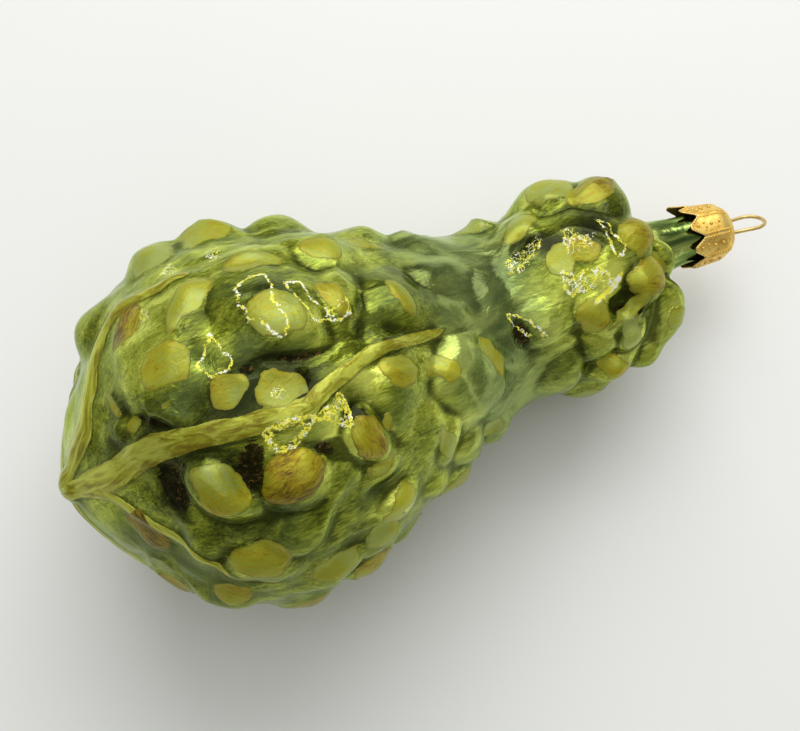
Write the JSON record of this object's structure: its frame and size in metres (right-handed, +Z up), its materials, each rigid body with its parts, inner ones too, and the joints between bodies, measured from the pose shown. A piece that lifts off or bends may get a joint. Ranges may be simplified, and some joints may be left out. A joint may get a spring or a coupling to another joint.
{
  "type": "glass gourd ornament",
  "caption": "Hollow blown-glass ornament shaped like a warty gourd, with a petalled metal cap and a wire hanging loop, lying on its side.",
  "frame": {"origin": "centre of the bounding box, on the surface that the ornament lies on", "axes": "+X along the gourd from its blossom end to the hanging loop, +Z up"},
  "size_m": [0.1508, 0.0718, 0.0719],
  "materials": {
    "glass": "silvered inside, streaky green lacquer with ochre painted spots, high gloss",
    "cap_metal": "stamped, satin gold",
    "wire": "bright drawn wire"
  },
  "bodies": {
    "root": {"glass_body": "glass", "cap": "cap_metal", "wire_hanger": "wire"}
  },
  "joints": []
}
